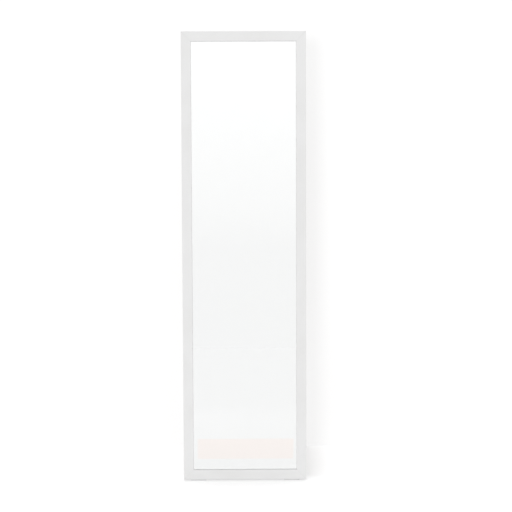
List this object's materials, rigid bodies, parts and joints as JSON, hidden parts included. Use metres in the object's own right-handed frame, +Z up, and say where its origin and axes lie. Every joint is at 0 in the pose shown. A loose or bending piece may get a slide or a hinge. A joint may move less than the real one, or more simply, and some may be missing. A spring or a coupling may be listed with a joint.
{
  "type": "floor mirror",
  "caption": "Tall slim free-standing mirror in a flat white mitred frame that leans on a hinged ladder stand with a webbing strap.",
  "frame": {"origin": "on the floor, under the middle of the bounding box of the mirror standing open", "axes": "+Z up, -Y the way the glass faces, +X to the right of a person facing the glass"},
  "size_m": [0.4, 0.3328, 1.4437],
  "materials": {
    "frame_paint": "satin white paint on fine fibreboard",
    "stand_paint": "satin white paint on planed pine",
    "mirror_glass": "polished silvered float glass",
    "card": "grey board",
    "hardboard": "smooth brown hardboard",
    "spring_steel": "bright spring steel",
    "zinc_steel": "bright zinc plate",
    "nickel_steel": "satin nickel plate",
    "webbing": "woven polypropylene webbing",
    "beech": "fluted beech dowel",
    "cap_plastic": "moulded white plastic",
    "pad_rubber": "pale grey non-marking rubber",
    "felt": "pressed felt"
  },
  "bodies": {
    "mirror": {"left_hinge_pin": "nickel_steel", "left_hinge_fixed_leaf": "nickel_steel", "right_hinge_pin": "nickel_steel", "right_hinge_fixed_leaf": "nickel_steel", "hinge_screws_mirror": "nickel_steel", "mirror_glass": "mirror_glass", "packing_card": "card", "backing_board": "hardboard", "frame_left_stile": "frame_paint", "frame_right_stile": "frame_paint", "frame_bottom_rail": "frame_paint", "frame_top_rail": "frame_paint", "mitre_v_nails": "spring_steel", "retaining_points": "spring_steel", "hinge_batten": "stand_paint", "batten_screws": "zinc_steel", "strap_plate_mirror": "nickel_steel", "strap_rivets": "nickel_steel", "webbing_strap": "webbing", "left_front_foot_pad": "pad_rubber", "right_front_foot_pad": "pad_rubber", "felt_dots": "felt"},
    "stand": {"left_hinge_moving_leaf": "nickel_steel", "right_hinge_moving_leaf": "nickel_steel", "hinge_screws_stand": "nickel_steel", "strap_plate_stand": "nickel_steel", "strap_screws": "zinc_steel", "stand_left_leg": "stand_paint", "left_rear_foot_pad": "pad_rubber", "stand_right_leg": "stand_paint", "right_rear_foot_pad": "pad_rubber", "stand_top_rail": "stand_paint", "stand_lower_rail": "stand_paint", "stand_dowels": "beech", "stand_joint_screws": "zinc_steel", "screw_caps": "cap_plastic"}
  },
  "joints": [
    {"name": "stand_fold", "type": "hinge", "parent": "mirror", "child": "stand", "pos_m": [0, 0.02047, 1.21592], "axis": [-1, 0, 0], "range_deg": [0, 14], "deforming": ["webbing_strap"]}
  ]
}
